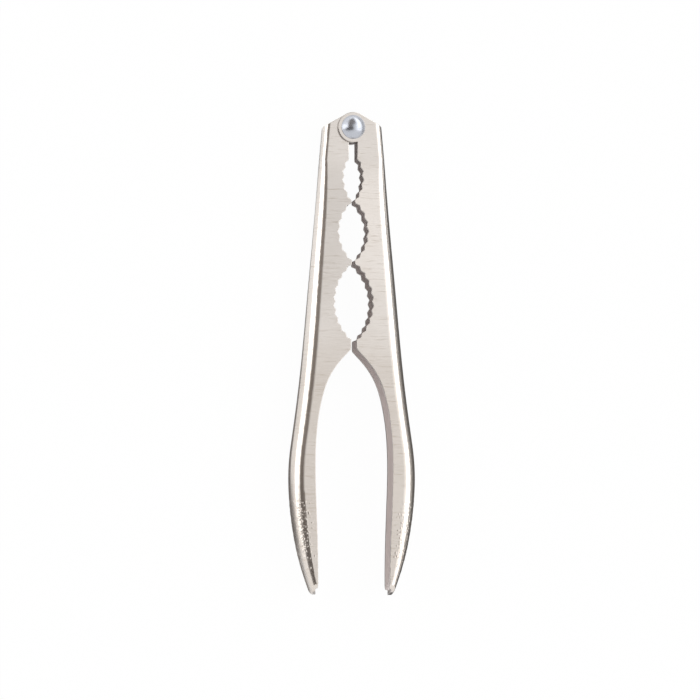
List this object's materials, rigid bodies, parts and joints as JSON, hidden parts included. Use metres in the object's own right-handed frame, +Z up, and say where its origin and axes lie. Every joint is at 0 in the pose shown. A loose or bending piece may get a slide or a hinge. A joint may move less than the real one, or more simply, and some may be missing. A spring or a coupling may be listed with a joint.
{
  "type": "nutcracker",
  "caption": "Lever nutcracker of pressed steel channel arms on a rivet, with graded toothed jaw openings between the arms and bowed stippled handles.",
  "frame": {"origin": "on the rivet's axis, at the flat end of its peened tail, in the plane that the tool lies on", "axes": "+Z up along the rivet to its dome head; +Y along the tool to the pivot end, the handles reach to -Y; +X to the right lever"},
  "size_m": [0.0428, 0.1652, 0.0145],
  "materials": {
    "lever_plate": "satin nickel plating with fine crosswise brush lines, stippled on the grips",
    "rivet": "polished, slightly blue",
    "bush": "plain turned steel",
    "washer": "bright zinc, slightly dull"
  },
  "bodies": {
    "left": {"left_lever": "lever_plate", "pivot_rivet": "rivet", "spacing_bush": "bush", "tail_washer": "washer"},
    "right": {"right_lever": "lever_plate"}
  },
  "joints": [
    {"name": "lever_swing", "type": "hinge", "parent": "left", "child": "right", "pos_m": [0, 0, 0.00725], "axis": [0, 0, 1], "range_deg": [-1.1, 160]}
  ]
}
